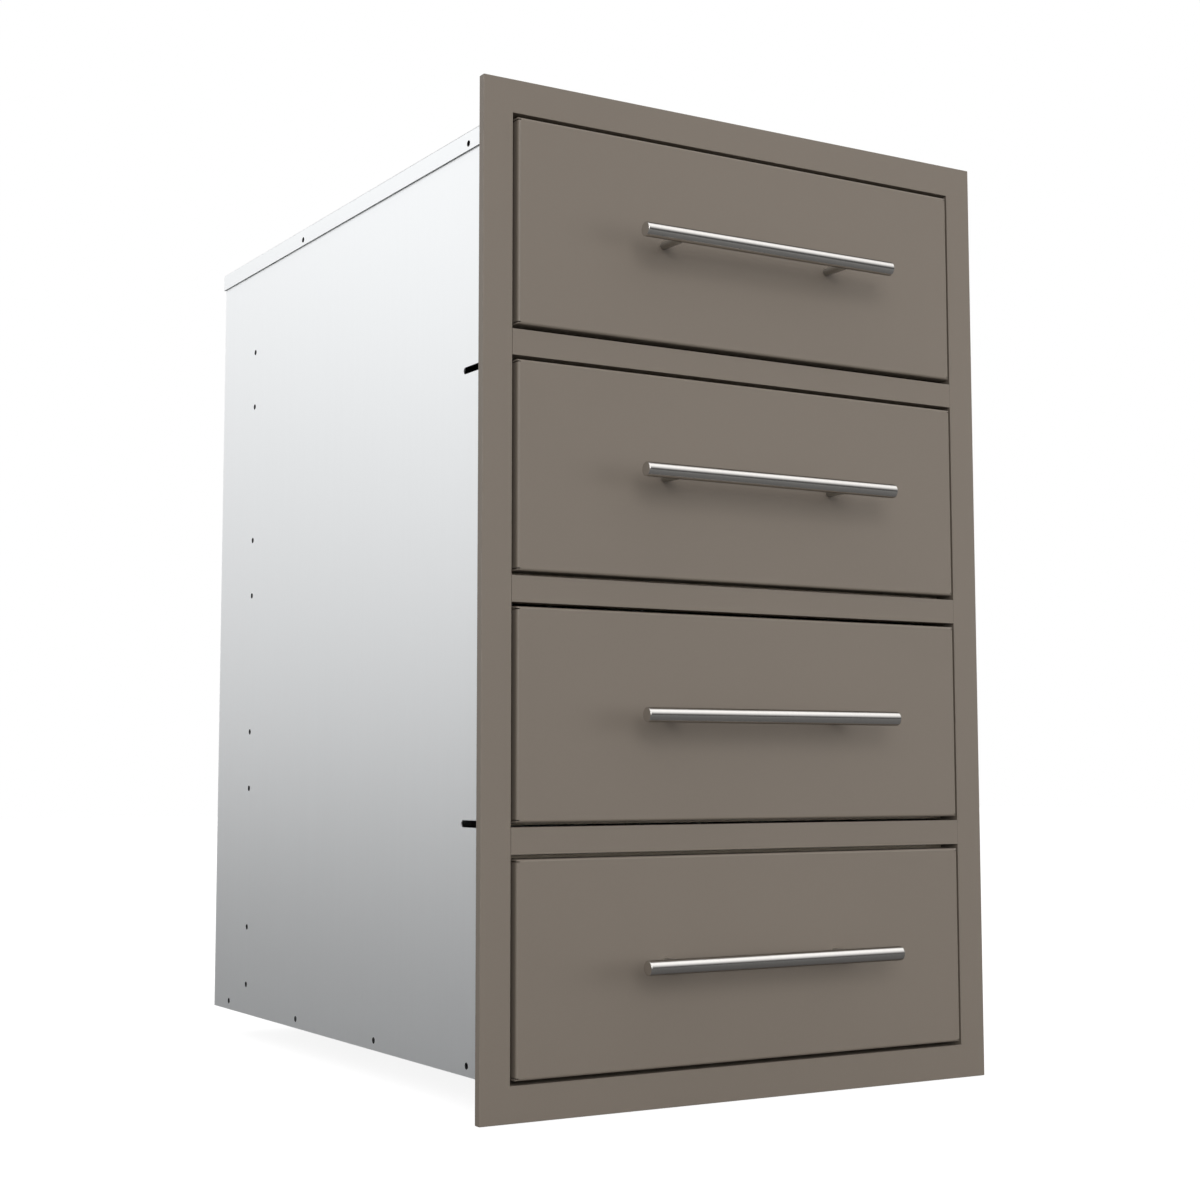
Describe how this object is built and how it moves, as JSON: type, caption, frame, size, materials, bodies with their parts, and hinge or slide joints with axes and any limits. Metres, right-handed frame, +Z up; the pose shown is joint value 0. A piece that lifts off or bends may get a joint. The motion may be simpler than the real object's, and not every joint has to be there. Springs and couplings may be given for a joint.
{
  "type": "outdoor kitchen drawer unit",
  "caption": "Built-in sheet steel drawer cabinet for an outdoor kitchen, with a powder-coated flanged front, bar handles and full-extension ball slides.",
  "frame": {"origin": "middle of the cabinet's underside, at the mount cabinet_base", "axes": "+X to the right seen from the front, +Y into the cabinet (the drawers open along -Y), +Z up"},
  "size_m": [0.432, 0.5778, 0.7],
  "materials": {
    "powder_coat": "satin taupe powder coat",
    "brushed_sheet": "fine brushed stainless sheet",
    "satin_bar": "satin polished stainless bar",
    "plated_steel": "zinc plated rolled steel"
  },
  "bodies": {
    "cabinet": {"face_frame": "powder_coat", "mid_rail_1": "powder_coat", "mid_rail_2": "powder_coat", "mid_rail_3": "powder_coat", "side_panel_left": "brushed_sheet", "side_panel_right": "brushed_sheet", "back_panel": "brushed_sheet", "bottom_pan": "brushed_sheet", "top_cover": "brushed_sheet", "slide_upright_left": "plated_steel", "slide_upright_right": "plated_steel", "cabinet_member_1_left": "plated_steel", "cabinet_member_1_right": "plated_steel", "cabinet_member_2_left": "plated_steel", "cabinet_member_2_right": "plated_steel", "cabinet_member_3_left": "plated_steel", "cabinet_member_3_right": "plated_steel", "cabinet_member_4_left": "plated_steel", "cabinet_member_4_right": "plated_steel"},
    "drawer_1": {"drawer_front_1": "powder_coat", "front_liner_1": "powder_coat", "drawer_tub_1": "brushed_sheet", "handle_bar_1": "satin_bar", "handle_post_1_left": "satin_bar", "handle_post_1_right": "satin_bar", "drawer_member_1_left": "plated_steel", "drawer_member_1_right": "plated_steel"},
    "drawer_2": {"drawer_front_2": "powder_coat", "front_liner_2": "powder_coat", "drawer_tub_2": "brushed_sheet", "handle_bar_2": "satin_bar", "handle_post_2_left": "satin_bar", "handle_post_2_right": "satin_bar", "drawer_member_2_left": "plated_steel", "drawer_member_2_right": "plated_steel"},
    "drawer_3": {"drawer_front_3": "powder_coat", "front_liner_3": "powder_coat", "drawer_tub_3": "brushed_sheet", "handle_bar_3": "satin_bar", "handle_post_3_left": "satin_bar", "handle_post_3_right": "satin_bar", "drawer_member_3_left": "plated_steel", "drawer_member_3_right": "plated_steel"},
    "drawer_4": {"drawer_front_4": "powder_coat", "front_liner_4": "powder_coat", "drawer_tub_4": "brushed_sheet", "handle_bar_4": "satin_bar", "handle_post_4_left": "satin_bar", "handle_post_4_right": "satin_bar", "drawer_member_4_left": "plated_steel", "drawer_member_4_right": "plated_steel"},
    "runners_1": {"runner_member_1_left": "plated_steel", "runner_member_1_right": "plated_steel"},
    "runners_2": {"runner_member_2_left": "plated_steel", "runner_member_2_right": "plated_steel"},
    "runners_3": {"runner_member_3_left": "plated_steel", "runner_member_3_right": "plated_steel"},
    "runners_4": {"runner_member_4_left": "plated_steel", "runner_member_4_right": "plated_steel"}
  },
  "joints": [
    {"name": "drawer_1_slide", "type": "slide", "parent": "cabinet", "child": "drawer_1", "axis": [0, -1, 0], "range_m": [0, 0.45]},
    {"name": "drawer_2_slide", "type": "slide", "parent": "cabinet", "child": "drawer_2", "axis": [0, -1, 0], "range_m": [0, 0.45]},
    {"name": "drawer_3_slide", "type": "slide", "parent": "cabinet", "child": "drawer_3", "axis": [0, -1, 0], "range_m": [0, 0.45]},
    {"name": "drawer_4_slide", "type": "slide", "parent": "cabinet", "child": "drawer_4", "axis": [0, -1, 0], "range_m": [0, 0.45]},
    {"name": "runners_1_slide", "type": "slide", "parent": "cabinet", "child": "runners_1", "axis": [0, -1, 0], "range_m": [0, 0.225]},
    {"name": "runners_2_slide", "type": "slide", "parent": "cabinet", "child": "runners_2", "axis": [0, -1, 0], "range_m": [0, 0.225]},
    {"name": "runners_3_slide", "type": "slide", "parent": "cabinet", "child": "runners_3", "axis": [0, -1, 0], "range_m": [0, 0.225]},
    {"name": "runners_4_slide", "type": "slide", "parent": "cabinet", "child": "runners_4", "axis": [0, -1, 0], "range_m": [0, 0.225]}
  ],
  "couplings": [
    {"joint": "runners_1_slide", "follows": "drawer_1_slide", "ratio": 0.5},
    {"joint": "runners_2_slide", "follows": "drawer_2_slide", "ratio": 0.5},
    {"joint": "runners_3_slide", "follows": "drawer_3_slide", "ratio": 0.5},
    {"joint": "runners_4_slide", "follows": "drawer_4_slide", "ratio": 0.5}
  ]
}
